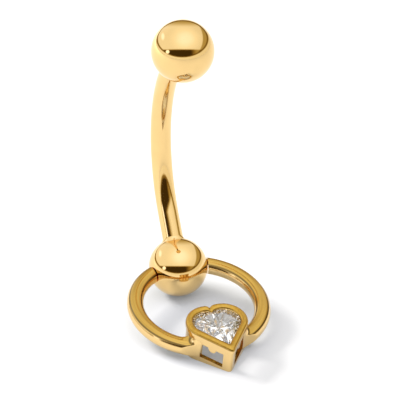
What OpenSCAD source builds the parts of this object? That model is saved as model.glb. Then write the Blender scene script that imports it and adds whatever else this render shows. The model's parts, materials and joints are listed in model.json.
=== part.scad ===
// Gold navel ring: a curved barbell with a captive hoop that carries a heart bezel.
// Z is up and the origin lies on the surface it stands on, below the middle of its outline.
// The lower ball and the heart's foot touch the surface, and the bar stands up.
// All lengths are in millimetres and all angles in degrees.

/* [Barbell] */
// Diameter of the bar, 14 gauge
bar_d = 1.63; // [1.2:0.01:2.0]
// Length of the straight part at the foot, from the lower ball's middle
foot_straight = 4.4; // [3.5:0.1:6]
// Radius of the bend, at the middle of the bar
bend_radius = 11.2; // [9.5:0.1:15]
// How far round the bend goes, up to the bar's shoulder
bend_angle = 77.5; // [60:0.5:90]
// How far the line from ball to ball leans back from upright
bar_lean = 1.1; // [0:0.1:4]
// Diameter of the ball that is soldered to the lower end
lower_ball_d = 4.65; // [4:0.05:6]

/* [Screw ball] */
// Diameter of the ball that screws on at the top
top_ball_d = 4.9; // [4:0.05:6]
// Diameter of the plain post that stands in for the thread
post_d = 1.2; // [0.8:0.05:1.4]
// Length of the post past the bar's shoulder
post_length = 2.9; // [2:0.1:3.2]
// Gap between the post's end and the end of its hole
post_end_gap = 0.2; // [0.1:0.05:0.4]

/* [Hoop] */
// Diameter of the hoop's wire, 16 gauge
wire_d = 1.29; // [1.0:0.01:1.6]
// Radius of the hoop, at the middle of the wire
hoop_radius = 4.97; // [4.6:0.01:6]
// Distance from the hinge line to the middle of the hoop
hoop_offset = 4.84; // [4.5:0.01:5.8]
// Diameter of the pin at each end of the hoop
pin_d = 0.44; // [0.3:0.02:0.6]
// How far each pin reaches into the ball
pin_depth = 0.9; // [0.6:0.05:1.2]

/* [Heart setting] */
// Distance from the hinge line to the line through the heart's lobes
heart_reach = 8.62; // [8:0.01:10]
// Radius of each lobe, outside the rim
lobe_radius = 1.86; // [1.6:0.01:2.4]
// Distance of each lobe's centre from the middle
lobe_spacing = 0.6; // [0.4:0.01:0.9]
// Angle of each straight side from the middle line
side_angle = 38; // [33:0.5:44]
// Width of the rim on top
rim_width = 0.58; // [0.45:0.01:0.8]
// Height of the rim's band
rim_height = 0.5; // [0.4:0.01:0.8]
// Radius of the rim's rounded outer edge
rim_round = 0.24; // [0.1:0.01:0.35]
// Height of the rim's top above the middle of the hoop's wire
rim_top = 1.85; // [1.6:0.01:2.4]
// How far the rim stands out past the wall
rim_overhang = 0.1; // [0.05:0.01:0.25]
// Thickness of the wall below the rim
wall = 0.35; // [0.25:0.01:0.5]
// How far the foot's tip lies below the middle of the hoop's wire
foot_drop = 0.57; // [0.3:0.01:0.9]
// Length of the window in each straight side
window_length = 2.05; // [1.2:0.05:2.3]
// Distance from the wall's tip to the near end of the window
window_from_tip = 0.8; // [0.5:0.05:1.2]
// Height of the window's lower edge, from the middle of the hoop's wire
window_low = -0.42; // [-0.5:0.01:0]
// Height of the window's upper edge, from the middle of the hoop's wire
window_high = 0.86; // [0.4:0.01:0.9]
// Radius of the half-round tab at the middle of the window's upper edge
tab_radius = 0.35; // [0.2:0.01:0.5]

/* [Stone] */
// How far the rim's lip covers the stone's edge
stone_cover = 0.15; // [0.08:0.01:0.25]
// Height of the stone's girdle above the middle of the hoop's wire
girdle_height = 1.38; // [1.2:0.01:1.5]
// Thickness of the girdle
girdle = 0.1; // [0.05:0.01:0.15]
// Height of the crown above the girdle
crown = 0.46; // [0.3:0.01:0.6]
// Depth of the pavilion below the girdle
pavilion = 1.3; // [1.0:0.01:1.9]
// Size of the table as a share of the girdle
table_share = 0.6; // [0.5:0.01:0.7]
// Distance from the lobes' line to the stone's middle
stone_middle = 0.6; // [0.3:0.01:0.9]
// Thickness of the ledge that the stone rests over
ledge = 0.2; // [0.12:0.01:0.3]
// How far the ledge stands in past the stone's edge
ledge_reach = 0.17; // [0.1:0.01:0.25]

/* [Clearances] */
// Gap between each pin or post and its hole, on the radius
pin_gap = 0.04; // [0.02:0.01:0.08]
// Gap between the hoop's ends and the lower ball
hoop_end_gap = 0.09; // [0.06:0.01:0.15]
// Gap between the bar's shoulder and the screw ball
seat_gap = 0.02; // [0.01:0.01:0.05]
// Gap between the stone and its setting
stone_gap = 0.02; // [0.01:0.01:0.05]

/* [Hidden] */
$fn = 96;
lower_ball_r = lower_ball_d / 2;
top_ball_r = top_ball_d / 2;
// Points on each lobe of the stone's outline
lobe_steps = 7;
// Extra length that makes a cut run clear of a face
cut_over = 0.5;
// How far a pin or post is rooted in the metal that it stands on
pin_root = 0.12;
post_root = 1;
// The wire is drawn from this far round on each side, and the ball's room trims its ends
wire_start = asin(lower_ball_r / 2 / hoop_radius);
gold = [0.86, 0.62, 0.22];
clear_stone = [0.93, 0.95, 0.98];

// Bar and screw ball
spot_face_margin = 0.06;
spot_face_r = bar_d / 2 + spot_face_margin;
spot_face_from_middle = sqrt(top_ball_r * top_ball_r - spot_face_r * spot_face_r);
post_from_middle = spot_face_from_middle + seat_gap;
post_hole_r = post_d / 2 + pin_gap;
// Depth of the post's hole from below the ball
post_hole_depth = top_ball_r + cut_over - post_from_middle + post_length + post_end_gap;
// The bar is drawn from inside the lower ball, clear of its sockets
bar_root = 1.1;
// Forward and up to the bend's end, for a bar whose foot stands straight up
bend_end = [bend_radius * (cos(bend_angle) - 1), foot_straight + bend_radius * sin(bend_angle)];
chord_end = bend_end + post_from_middle * [-sin(bend_angle), cos(bend_angle)];
// Turn that brings the line from ball to ball to its lean
bar_turn = -atan2(-chord_end[0], chord_end[1]) - bar_lean;

// Hoop and heart, in the hoop's own plane, with the hinge line at zero
wall_out = -rim_overhang;
wall_in = wall_out - wall;
rim_in = -rim_width;
pocket = rim_in + stone_cover + stone_gap;
ledge_in = rim_in + stone_cover - ledge_reach;
rim_low = rim_top - rim_height;
girdle_low = girdle_height - girdle / 2;
girdle_high = girdle_height + girdle / 2;
stone_radius = lobe_radius + rim_in + stone_cover;
// Distance from the stone's middle to its straight sides, where its facets are steepest
side_distance = stone_radius + lobe_spacing * cos(side_angle) - stone_middle * sin(side_angle);
// The crown rises this much under the lip, and the pavilion falls this much over the ledge
crown_rise = stone_cover * crown / ((1 - table_share) * side_distance);
pavilion_fall = ledge_reach * pavilion / side_distance;
lip_low = girdle_high + crown_rise + stone_gap;
ledge_top = girdle_low - pavilion_fall - stone_gap;
ledge_low = ledge_top - ledge;
// Length of the straight side, from where the lobe ends to the rim's sharp tip
side_length = tip_reach(0) * cos(side_angle) + lobe_spacing * sin(side_angle);
wall_tip = heart_reach + tip_reach(wall_out);
tip_span = sqrt(wall_tip * wall_tip + foot_drop * foot_drop);
// Tilt that sets the ball and the foot's tip on one surface
hoop_pitch = asin(lower_ball_r / tip_span) - atan2(foot_drop, wall_tip);
// Lowest level that the wall is drawn to, before the surface trims it
wall_low = -lower_ball_r;

// Outline's front and back, which centre the part on its origin
front_reach = heart_reach + tip_reach(0) - rim_round;
front_y = -front_reach * cos(hoop_pitch) - (rim_top - rim_round) * sin(hoop_pitch) - rim_round;
bend_back = foot_straight * sin(-bar_turn) + bend_radius * (1 - cos(bar_turn));
back_y = bend_back + bar_d / 2;
middle_y = (front_y + back_y) / 2;

// Distance from the lobes' line to the tip of the heart, grown by the given offset
function tip_reach(grow) = -heart_tip(lobe_radius + grow)[1];

// Right half of the heart's outline, from the notch round the lobe and half way down the side
function right_half(radius) =
    let (notch = acos(-lobe_spacing / radius))
    let (lobe = [
        for (i = [0 : lobe_steps])
        let (turn = notch - (notch + side_angle) * i / lobe_steps)
        [lobe_spacing + radius * cos(turn), radius * sin(turn)]
    ])
    concat(lobe, [(lobe[lobe_steps] + heart_tip(radius)) / 2]);

// Sharp tip of a heart whose lobes have the given radius
function heart_tip(radius) = [0, -(lobe_spacing * cos(side_angle) + radius) / sin(side_angle)];

// Whole outline as points, clockwise from the notch
function heart_points(radius) =
    let (right = right_half(radius))
    concat(
        right,
        [heart_tip(radius)],
        [for (i = [len(right) - 1 : -1 : 1]) [-right[i][0], right[i][1]]]
    );

// Points moved to a height and drawn in towards the stone's middle
function lifted(points, share, z) = [
    for (p = points)
    [p[0] * share, (p[1] + stone_middle) * share - stone_middle, z]
];

// Puts its children at the lower ball's middle, which is on the hinge line
module at_hinge() {
    translate([0, -middle_y, lower_ball_r])
    children();
}

// Puts its children in the hoop's plane, tipped until the foot lies on the surface
module in_hoop_plane() {
    at_hinge()
    rotate([hoop_pitch, 0, 0])
    children();
}

// Puts its children in the bar's frame, where the foot stands straight up and the bend curls forward
module in_bar_frame() {
    at_hinge()
    rotate([bar_turn, 0, 0])
    children();
}

// Puts its children at the end of the bend, pointing along the post
module at_post() {
    in_bar_frame()
    translate([0, bend_end[0], bend_end[1]])
    rotate([bend_angle, 0, 0])
    children();
}

// Bar, lower ball and post in one piece, with a socket on each side for the hoop
module barbell() {
    color(gold)
    union() {
        difference() {
            at_hinge() sphere(r = lower_ball_r);
            for (side = [0, 180]) {
                at_hinge()
                rotate([0, 90, side])
                translate([0, 0, lower_ball_r - pin_depth - pin_gap])
                cylinder(r = pin_d / 2 + pin_gap, h = pin_depth + pin_gap + cut_over);
            }
        }
        in_bar_frame()
        translate([0, 0, bar_root])
        cylinder(d = bar_d, h = foot_straight - bar_root);
        in_bar_frame()
        translate([0, -bend_radius, foot_straight])
        rotate([90, 0, 90])
        rotate_extrude(angle = bend_angle)
        translate([bend_radius, 0])
        circle(d = bar_d);
        at_post()
        translate([0, 0, -post_root])
        cylinder(d = post_d, h = post_root + post_length);
    }
}

// Ball with a spot face and a blind hole for the post
module top_ball() {
    color(gold)
    at_post()
    translate([0, 0, post_from_middle])
    difference() {
        sphere(r = top_ball_r);
        translate([0, 0, -spot_face_from_middle - cut_over])
        cylinder(r = spot_face_r, h = cut_over);
        translate([0, 0, -top_ball_r - cut_over])
        cylinder(r = post_hole_r, h = post_hole_depth);
    }
}

// Section of the wall, rim, lip and ledge, with zero at the rim's outer face
module setting_section() {
    polygon([
        [wall_out, wall_low],
        [wall_out, rim_low],
        [0, rim_low],
        [0, rim_top - rim_round],
        [-rim_round, rim_top],
        [rim_in, rim_top],
        [rim_in, lip_low],
        [pocket, lip_low],
        [pocket, girdle_low - stone_gap],
        [ledge_in, ledge_top],
        [ledge_in, ledge_low],
        [wall_in, ledge_low],
        [wall_in, wall_low]
    ]);
    translate([-rim_round, rim_top - rim_round])
    circle(r = rim_round);
}

// Half of a band that follows the heart's outline with its children as the section
module half_band() {
    intersection() {
        translate([lobe_spacing, 0, 0])
        rotate([0, 0, -side_angle]) {
            rotate_extrude(angle = 180)
            translate([lobe_radius, 0])
            children();
            translate([lobe_radius, 0, 0])
            rotate([90, 0, 0])
            linear_extrude(height = side_length + cut_over)
            children();
        }
        translate([0, -tip_reach(0) - cut_over, wall_low - cut_over])
        cube([2 * tip_reach(0), 2 * tip_reach(0), 2 * (rim_top - wall_low)]);
    }
}

// Windows through the two straight sides, each with a tab that hangs from its upper edge
module windows() {
    through = wall + 2 * cut_over;
    for (side = [0, 1]) {
        mirror([side, 0, 0])
        translate([0, -tip_reach(wall_out), 0])
        rotate([0, 0, -side_angle])
        translate([-wall - cut_over, window_from_tip, 0])
        difference() {
            translate([0, 0, window_low])
            cube([through, window_length, window_high - window_low]);
            translate([-cut_over, window_length / 2, window_high])
            rotate([0, 90, 0])
            cylinder(r = tab_radius, h = through + 2 * cut_over);
        }
    }
}

// Area inside the wall, which the wire stops at
module inner_area() {
    radius = lobe_radius + wall_in;
    tip = tip_reach(wall_in);
    for (side = [-1, 1]) {
        translate([side * lobe_spacing, 0]) circle(r = radius);
    }
    polygon([
        [-lobe_spacing, 0],
        [-lobe_spacing - radius * cos(side_angle), -radius * sin(side_angle)],
        [0, -tip],
        [lobe_spacing + radius * cos(side_angle), -radius * sin(side_angle)],
        [lobe_spacing, 0]
    ]);
}

// Hoop and heart setting, soldered into one piece, with its foot trimmed to the surface
module heart_hoop() {
    color(gold)
    difference() {
        in_hoop_plane()
        union() {
            difference() {
                translate([0, -hoop_offset, 0])
                rotate([0, 0, 90 + wire_start])
                rotate_extrude(angle = 360 - 2 * wire_start)
                translate([hoop_radius, 0])
                circle(d = wire_d);
                sphere(r = lower_ball_r + hoop_end_gap);
                translate([0, -heart_reach, -wire_d]) linear_extrude(height = 2 * wire_d) inner_area();
            }
            for (side = [0, 180]) {
                rotate([0, 90, side])
                translate([0, 0, lower_ball_r - pin_depth])
                cylinder(d = pin_d, h = pin_depth + hoop_end_gap + pin_root);
            }
            for (side = [0, 1]) {
                translate([0, -heart_reach, 0])
                mirror([side, 0, 0])
                half_band()
                setting_section();
            }
        }
        in_hoop_plane()
        translate([0, -heart_reach, 0])
        windows();
        translate([-hoop_radius, front_y - middle_y - cut_over, -hoop_radius])
        cube([2 * hoop_radius, 2 * heart_reach, hoop_radius]);
    }
}

// Cut stone: a table, a crown of facets, a girdle and a pavilion that ends in a point
module heart_stone() {
    outline = heart_points(stone_radius);
    count = len(outline);
    table = lifted(outline, table_share, girdle_high + crown);
    upper = lifted(outline, 1, girdle_high);
    lower = lifted(outline, 1, girdle_low);
    culet = [[0, -stone_middle, girdle_low - pavilion]];
    top_middle = [[0, -stone_middle, girdle_high + crown]];
    points = concat(table, upper, lower, culet, top_middle);
    color(clear_stone)
    in_hoop_plane()
    translate([0, -heart_reach, 0])
    polyhedron(
        points = points,
        faces = concat(
            [for (i = [0 : count - 1]) [3 * count + 1, (i + 1) % count, i]],
            [for (i = [0 : count - 1]) [i, (i + 1) % count, count + i]],
            [for (i = [0 : count - 1]) [(i + 1) % count, count + (i + 1) % count, count + i]],
            [for (i = [0 : count - 1]) [count + i, count + (i + 1) % count, 2 * count + i]],
            [for (i = [0 : count - 1]) [count + (i + 1) % count, 2 * count + (i + 1) % count, 2 * count + i]],
            [for (i = [0 : count - 1]) [2 * count + i, 2 * count + (i + 1) % count, 3 * count]]
        )
    );
}

barbell();
top_ball();
heart_hoop();
heart_stone();
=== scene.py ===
"""Gold navel ring: the looks of the curved bar, its balls, the hoop, the heart setting and the stone.

Every length is in metres and every piece lies in the part's own frame: Z is up, the heart points
along -Y, and the origin is on the surface that the ring stands on.
"""

import json
import math

import bpy
import numpy as np
from mathutils import Matrix, Vector


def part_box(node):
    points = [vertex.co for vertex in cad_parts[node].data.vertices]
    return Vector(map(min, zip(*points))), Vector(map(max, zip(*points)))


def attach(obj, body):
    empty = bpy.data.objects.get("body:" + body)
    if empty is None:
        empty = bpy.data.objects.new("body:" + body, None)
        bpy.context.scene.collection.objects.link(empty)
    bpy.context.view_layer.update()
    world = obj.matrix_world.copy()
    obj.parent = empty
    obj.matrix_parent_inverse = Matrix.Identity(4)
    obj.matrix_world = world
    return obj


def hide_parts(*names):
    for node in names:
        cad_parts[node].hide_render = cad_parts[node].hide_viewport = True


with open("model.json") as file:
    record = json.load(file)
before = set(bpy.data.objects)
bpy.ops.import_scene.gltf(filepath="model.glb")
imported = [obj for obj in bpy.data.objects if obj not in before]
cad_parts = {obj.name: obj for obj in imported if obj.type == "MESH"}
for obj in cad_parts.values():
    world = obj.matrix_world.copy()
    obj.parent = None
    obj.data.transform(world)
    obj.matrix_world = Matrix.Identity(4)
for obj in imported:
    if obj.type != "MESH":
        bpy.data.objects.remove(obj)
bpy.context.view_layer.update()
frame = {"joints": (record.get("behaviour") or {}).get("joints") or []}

bl_info = {
    "name": "Navel Ring",
    "version": (1, 0, 0),
    "blender": (4, 5, 0),
    "location": "View3D > Sidebar > Navel Ring",
    "description": "Builds a gold navel ring with a heart-shaped stone around its packed solids",
    "category": "Object",
}

MM = 0.001
JOINTS = {joint["name"]: joint for joint in frame["joints"]}
HINGE = np.array(JOINTS["hoop_swing"]["pos_m"])
POST_AXIS = np.array(JOINTS["ball_lift"]["axis"])
POST_AXIS = POST_AXIS / np.linalg.norm(POST_AXIS)
ACROSS = np.array([1.0, 0.0, 0.0])
BACKWARDS = np.array([0.0, 1.0, 0.0])
LOWER_BALL_RADIUS = HINGE[2]
TOP_BALL_LOW, TOP_BALL_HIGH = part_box("top_ball")
TOP_BALL_MIDDLE = np.array((TOP_BALL_LOW + TOP_BALL_HIGH) / 2)
TOP_BALL_RADIUS = (TOP_BALL_HIGH.x - TOP_BALL_LOW.x) / 2
SHARP_ANGLE = math.radians(38)

# Steps of the surfaces, along each piece and round it
BAR_RINGS, BAR_AROUND = 150, 72
BALL_RINGS, BALL_AROUND = 97, 128
WIRE_RINGS, WIRE_AROUND = 160, 64
BAR_START = 0.75  # where the bar starts inside the lower ball, as a share of the ball's radius

# The hoop's arms
CONCAVE_STEPS = 8  # from the pin to the wire's skin
HALVINGS = 40  # until the end of each line of the wire's skin is found
WINDOW_CLEARANCE = 0.02 * MM  # between an arm and the window
CROWDING = 1.4  # above 1, the rings stand closer near the heart
WEB_FALL = 1.5  # power in the fall of the solder away from the heart
WEB_TOP = 2  # power of the sine that keeps the solder's web on the top of the wire
FILED_RISE, FILED_POWER = 0.55, 1.5  # how soon the wire's filed side leaves the heart's flat side

# Columns of the setting, from the notch to the tip, closer where the lobes meet and at the tab
LOBE_SHARES = np.concatenate([[0, 0.006, 0.014, 0.024, 0.036], np.linspace(0.05, 1, 45)])
BEFORE_WINDOW_STEPS, BESIDE_TAB_STEPS, TAB_STEPS, TIP_COLUMNS = 3, 4, 11, 7

# Rows of the setting, from the outer foot over the rim to the inner foot
RIM_STEPS = 14
CREST_SHARE = 0.47  # of the rim's width, from its outer side to its crest
RIM_TOP_ROWS = slice(5, 4 + 2 * RIM_STEPS)
SILL_OUT, HEAD_OUT, HEAD_IN, SILL_IN = 1, 2, -3, -2
INNER_ROUNDING = 0.08 * MM  # of the tip, on the hidden inner rows
MOST_ROUNDING = 0.9  # of what is left between the window and the tip
BEVEL_SEGMENTS = 2

# The stone's cut: facets round each half, and shares of the crown's or the pavilion's size
LOBE_FACETS, SIDE_FACETS = 6, 2
STAR_REACH, STAR_HEIGHT = 0.45, 0.52
KEEL_SIZE, KEEL_DEPTH = 0.3, 0.96

# Gold: a noise's scale is per metre, and an ease is two values and what it gives at them
CLOUD_SCALE, CLOUD_DETAIL = 700.0, 3.0
GRAIN_SCALE, LINE_SCALE, MARK_DETAIL = 5000.0, 9000.0, 4.0
DARK_AT, LIGHT_AT = 0.3, 0.7  # values of the noise at a colour's two ends
CLOUD_SHADE, BRUSHED_SHADE, PAINTED_LINE_SHADE = 0.95, 0.8, 0.25  # dark ends, as shares of the light one; the last is for the painted dark line
SATIN_WIDTH = 0.12  # share of the facing over which polish turns into the satin top's painted shade
PAINTED_LINE_EASE = (0.04, 0.12, 0.9, 0.0)  # how dark the painted dark line is, by the distance from the border
MARKS_LOW, MARKS_HIGH = 0.25, 0.75  # values of the noise at the smoothest and the roughest polish
SMOOTHEST, ROUGHEST = 0.7, 1.4  # as shares of the piece's roughness
MARK_STRENGTH = 0.5
LINE_TURN = 0.25 * MM  # how far one radian round the wire's axis moves the draw lines
BALL_MARKS, BAR_MARKS, RIM_MARKS, WIRE_MARKS = 0.0003 * MM, 0.0006 * MM, 0.0008 * MM, 0.0012 * MM

# Stone: its colour, and the haze over some facets
STONE_COLOUR = (0.99, 0.99, 1.0, 1.0)
HAZE_SCALE, HAZE_DETAIL = 2500.0, 3.0
HAZE_EASE = (0.5, 0.8, 0.0, 0.008)

# Light tent, drawn where a mirror ball shows it: an ellipse is its middle and half widths
DOME, GLOW, PANEL = (-0.01, 0.37, 0.775, 0.57), (0.11, 0.36, 0.6, 0.5), (-0.05, 0.37, 0.67, 0.7)
STREAK, LAMP = (-0.61, 0.45, 0.07, 0.16), (-0.47, -0.035, 0.07, 0.07)
DOME_EASE, TENT_EASE, GLOW_EASE = (0.97, 1.0, 1.0, 0.0), (-0.6, 0.9, 1.02, 0.9), (0.1, 1.0, 0.3, 0.0)
DOME_TOP_EASE = (0.72, 0.92, 1.0, 0.5)
PANEL_EASE, PANEL_RIGHT_EASE, PANEL_LEVEL = (0.97, 1.03), (0.2, 0.4), 0.52
SLIT_EASE, SLIT_LEVEL_EASE = (0.0, 0.06, 1.0, 0.0), (0.24, 0.46, 0.05, 0.45)
SEAM_EASE, SEAM_LEVEL = (0.012, 0.05, 1.0, 0.0), 0.25
STREAK_EASE, LAMP_EASE = (0.3, 1.0, 0.4, 0.0), (0.5, 1.0, 2.0, 0.0)
BRIGHTEST = 1.6  # above every level, since a ramp ends at one
TENT_COLOURS = [
    (0.0, (0.0, 0.0, 0.0)),
    (0.09, (0.093, 0.054, 0.012)),
    (0.31, (0.31, 0.208, 0.05)),
    (0.5, (0.5, 0.4, 0.17)),
    (0.65, (0.65, 0.57, 0.37)),
    (0.87, (0.87, 0.83, 0.72)),
    (1.0, (1.0, 1.0, 0.98)),
    (1.12, (1.12, 1.12, 1.12)),
    (1.3, (1.3, 1.36, 1.65)),
    (1.5, (1.5, 1.55, 1.9)),
]

# Patches of light that only the stone's facets pick up
PATCH_SCALE = 2.3
PATCH_MIX = (0.5, 0.5, 0.0)  # shares of a cell's random red, green and blue
PATCH_COLOURS = [
    (0.0, (0.0, 0.0, 0.0)),
    (0.35, (0.01, 0.01, 0.01)),
    (0.36, (0.4, 0.3, 0.22)),
    (0.42, (0.55, 0.5, 0.45)),
    (0.43, (1.0, 1.0, 1.0)),
    (1.0, (0.9, 0.95, 1.0)),
]
LEAST_FACING = 0.0001  # keeps the direction behind the ball from a division by zero

# Studio
PAPER_ROUGHNESS, PAPER_SPECULAR = 0.9, 0.1
SENSOR_WIDTH = 36
CLIP_START, CLIP_END = 0.01, 10
MOST_BOUNCES, GLOSSY_BOUNCES = 24, 12
GLOSSY_BLUR = 0.2


def length(name, description, millimetres):
    """A length property, given in millimetres and kept in metres."""
    return bpy.props.FloatProperty(
        name=name, description=description, default=millimetres * MM, unit="LENGTH", precision=5
    )


def angle(name, description, degrees):
    """An angle property, given in degrees."""
    return bpy.props.FloatProperty(
        name=name, description=description, default=math.radians(degrees), subtype="ANGLE"
    )


def share(name, description, value):
    """A number from zero to one."""
    return bpy.props.FloatProperty(
        name=name, description=description, default=value, min=0.0, max=1.0, subtype="FACTOR"
    )


def colour(name, description, value):
    """A colour property, in linear light."""
    return bpy.props.FloatVectorProperty(
        name=name, description=description, default=value, subtype="COLOR", size=3, min=0.0, max=1.0
    )


class BarSizes(bpy.types.PropertyGroup):
    """Bar and balls"""

    bar_diameter: length("Bar diameter", "Diameter of the curved bar", 1.63)
    foot_straight: length("Straight foot", "Straight part's length, from the lower ball's middle", 4.4)
    bend_radius: length("Bend radius", "Radius of the bend at the middle of the bar", 11.2)
    bend_angle: angle("Bend angle", "How far round the bend goes, up to the bar's shoulder", 77.5)
    post_diameter: length("Post diameter", "Diameter of the post in the screw ball", 1.2)
    post_length: length("Post length", "Length of the post past the shoulder", 2.9)
    post_end_gap: length("Post end gap", "Gap between the post's end and the end of its hole", 0.2)
    spot_margin: length("Spot margin", "How far the ball's spot face stands out past the bar", 0.06)
    seat_gap: length("Seat gap", "Gap between the bar's shoulder and the screw ball", 0.02)
    pin_gap: length("Pin gap", "Gap between a pin or post and its hole, on the radius", 0.04)
    chamfer: length("Chamfer", "Width of the chamfer on the shoulder and on the post's end", 0.05)
    foot_fillet: length("Foot fillet", "Radius of the solder where the bar meets the ball", 0.16)


class HoopSizes(bpy.types.PropertyGroup):
    """Hoop"""

    wire_diameter: length("Wire diameter", "Diameter of the hoop's wire", 1.29)
    hoop_radius: length("Hoop radius", "Radius at the middle of the wire", 4.97)
    hoop_offset: length("Hoop offset", "Distance from the hinge line to the hoop's middle", 4.84)
    end_gap: length("End gap", "Gap between the hoop's ends and the lower ball", 0.09)
    pin_diameter: length("Pin diameter", "Diameter of the pin at each end of the hoop", 0.44)
    pin_depth: length("Pin depth", "How far each pin reaches into the ball", 0.9)
    solder_flare: length("Solder flare", "How much the wire widens where it meets the heart", 0.06)
    web_rise: length("Web rise", "How far the solder climbs from the wire towards the rim", 0.5)
    web_reach: length("Web reach", "Distance over which the solder climbs", 0.42)
    flush_proud: length("Flush proud", "How far the filed wire stands out from the heart's side", 0.02)


class HeartSizes(bpy.types.PropertyGroup):
    """Heart setting"""

    heart_reach: length("Heart reach", "From the hinge line to the line through the lobes", 8.62)
    lobe_radius: length("Lobe radius", "Radius of each lobe outside the rim", 1.86)
    lobe_spacing: length("Lobe spacing", "Distance of each lobe's middle from the centre line", 0.6)
    side_angle: angle("Side angle", "Angle of each straight side from the centre line", 38)
    rim_width: length("Rim width", "Width of the rim from above", 0.58)
    rim_height: length("Rim height", "Height of the rim's band", 0.5)
    rim_top: length("Rim top", "Height of the rim above the middle of the wire", 1.85)
    rim_fall_out: length("Outer fall", "How far the rim's top falls to its upright outer side", 0.3)
    rim_fall_in: length("Inner fall", "How far the rim's top falls to its inner edge", 0.22)
    rim_overhang: length("Rim overhang", "How far the rim stands out past the wall", 0.1)
    wall: length("Wall", "Thickness of the wall below the rim", 0.35)
    foot_drop: length("Foot drop", "Depth of the foot's tip below the middle of the wire", 0.57)
    window_length: length("Window length", "Length of the window in each straight side", 2.05)
    window_from_tip: length("Window from tip", "Distance from the wall's tip to the window", 0.8)
    window_low: length("Window sill", "Height of the window's lower edge", -0.42)
    window_high: length("Window head", "Height of the window's upper edge", 0.86)
    tab_radius: length("Tab radius", "Radius of the half-round tab that hangs into the window", 0.35)
    notch_depth: length("Notch depth", "Depth of the crease where the rim's two lobes meet", 0.16)
    notch_width: length("Notch width", "Half the width of that crease", 0.17)
    tip_rounding: length("Tip rounding", "Length of each side that the rounded tip takes up", 0.42)
    edge_rounding: length("Edge rounding", "Width of the polished rounding on sharp edges", 0.045)


class StoneSizes(bpy.types.PropertyGroup):
    """Stone"""

    cover: length("Cover", "How far the rim covers the stone's edge", 0.15)
    gap: length("Gap", "Gap between the stone and its setting", 0.02)
    girdle_height: length("Girdle height", "Height of the girdle above the middle of the wire", 1.38)
    girdle: length("Girdle", "Thickness of the girdle", 0.1)
    crown: length("Crown", "Height of the crown above the girdle", 0.46)
    pavilion: length("Pavilion", "Depth of the pavilion below the girdle", 1.3)
    table_share: share("Table share", "Size of the table as a share of the girdle", 0.6)
    middle: length("Middle", "Distance from the line through the lobes to the stone's middle", 0.6)
    ledge: length("Ledge", "Thickness of the ledge below the stone", 0.2)
    ledge_reach: length("Ledge reach", "How far the ledge stands in past the stone's edge", 0.17)


class Finishes(bpy.types.PropertyGroup):
    """Finishes"""

    polished_gold: colour("Polished gold", "Colour of the balls, the bar and the upright sides",
                          (0.845, 0.592, 0.256))
    # The two satin colours are darker and browner than the polished gold: painted shade for the dim
    # reflections on the tops of the wire and the rim, under a brushed grain.
    wire_satin_shade: colour("Wire satin", "Colour of the satin top of the hoop's wire", (0.63, 0.39, 0.085))
    rim_satin_shade: colour("Rim satin", "Colour of the satin top of the rim", (0.58, 0.345, 0.06))
    wire_border: share("Wire border", "Cosine of the angle at which the wire's satin stops", 0.7)
    rim_border: share("Rim border", "Cosine of the angle at which the rim's satin stops", 0.22)
    ball_roughness: share("Ball roughness", "Roughness of the balls", 0.05)
    bar_roughness: share("Bar roughness", "Roughness of the bar", 0.08)
    hoop_roughness: share("Hoop roughness", "Roughness of the hoop and the setting", 0.14)
    stone_ior: bpy.props.FloatProperty(
        name="Stone IOR", description="Refractive index of the stone", default=2.75, min=1.0, max=3.0
    )


class StudioSettings(bpy.types.PropertyGroup):
    """Studio"""

    floor_size: length("Floor size", "Side of the square floor", 1600)
    floor_colour: colour("Floor colour", "Colour of the floor", (0.66, 0.66, 0.66))
    floor_glow: share("Floor glow", "Light that the floor gives off, like a light table", 0.18)
    tent_strength: bpy.props.FloatProperty(
        name="Tent strength", description="Brightness of the light tent", default=1.12, min=0.0
    )
    key_power: bpy.props.FloatProperty(
        name="Key power", description="Power of the softbox at the back left", default=1.8, min=0.0,
        unit="POWER",
    )
    key_colour: colour("Key colour", "Colour of the softbox's light", (1.0, 0.98, 0.95))
    key_width: length("Key width", "Width of the softbox", 200)
    key_height: length("Key height", "Height of the softbox", 120)
    key_distance: length("Key distance", "Distance from the softbox to the ring", 420)
    key_azimuth: angle("Key azimuth", "Turn of the softbox to the ring's right, from its front", -140)
    key_elevation: angle("Key elevation", "Height of the softbox over the floor", 34)
    camera_distance: length("Camera distance", "Distance from the camera to the ring", 300)
    camera_lens: bpy.props.FloatProperty(
        name="Camera lens", description="Focal length on a 36 mm sensor", default=342.5, min=1.0,
        unit="CAMERA",
    )
    camera_azimuth: angle("Camera azimuth", "Turn of the camera to the ring's left", 21.13)
    camera_elevation: angle("Camera elevation", "Height of the line of sight over the floor", 31.47)
    camera_roll: angle("Camera roll", "Turn of the camera about its line of sight", 1.87)
    camera_aim: bpy.props.FloatVectorProperty(
        name="Camera aim", description="Point at the middle of the picture", subtype="XYZ", size=3,
        default=(2.449 * MM, 5.524 * MM, 6.866 * MM),
    )


def skin_of_rings(rings, first, last):
    """Closed skin over rings of equal count.

    Ring i is joined to ring i + 1 by quads that wrap round, and the points first and last close the
    ends with fans. Rings that turn anticlockwise about the way they advance give outward faces.
    """
    count, around = rings.shape[:2]
    index = np.arange(count * around).reshape(count, around)
    turned = np.roll(index, -1, axis=1)
    quads = np.stack([index[:-1], turned[:-1], turned[1:], index[1:]], axis=-1).reshape(-1, 4)
    pole = np.full(around, count * around)
    start_fan = np.stack([pole, turned[0], index[0]], axis=-1)
    end_fan = np.stack([pole + 1, index[-1], turned[-1]], axis=-1)
    verts = np.concatenate([rings.reshape(-1, 3), [first, last]])
    return verts, quads.tolist() + start_fan.tolist() + end_fan.tolist()


def square_to(axis):
    """Unit vector square to an axis: its cross product with Y where it leans to X, or else with X."""
    side = np.cross(axis, BACKWARDS if abs(axis[0]) > abs(axis[1]) else ACROSS)
    return side / np.linalg.norm(side)


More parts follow.
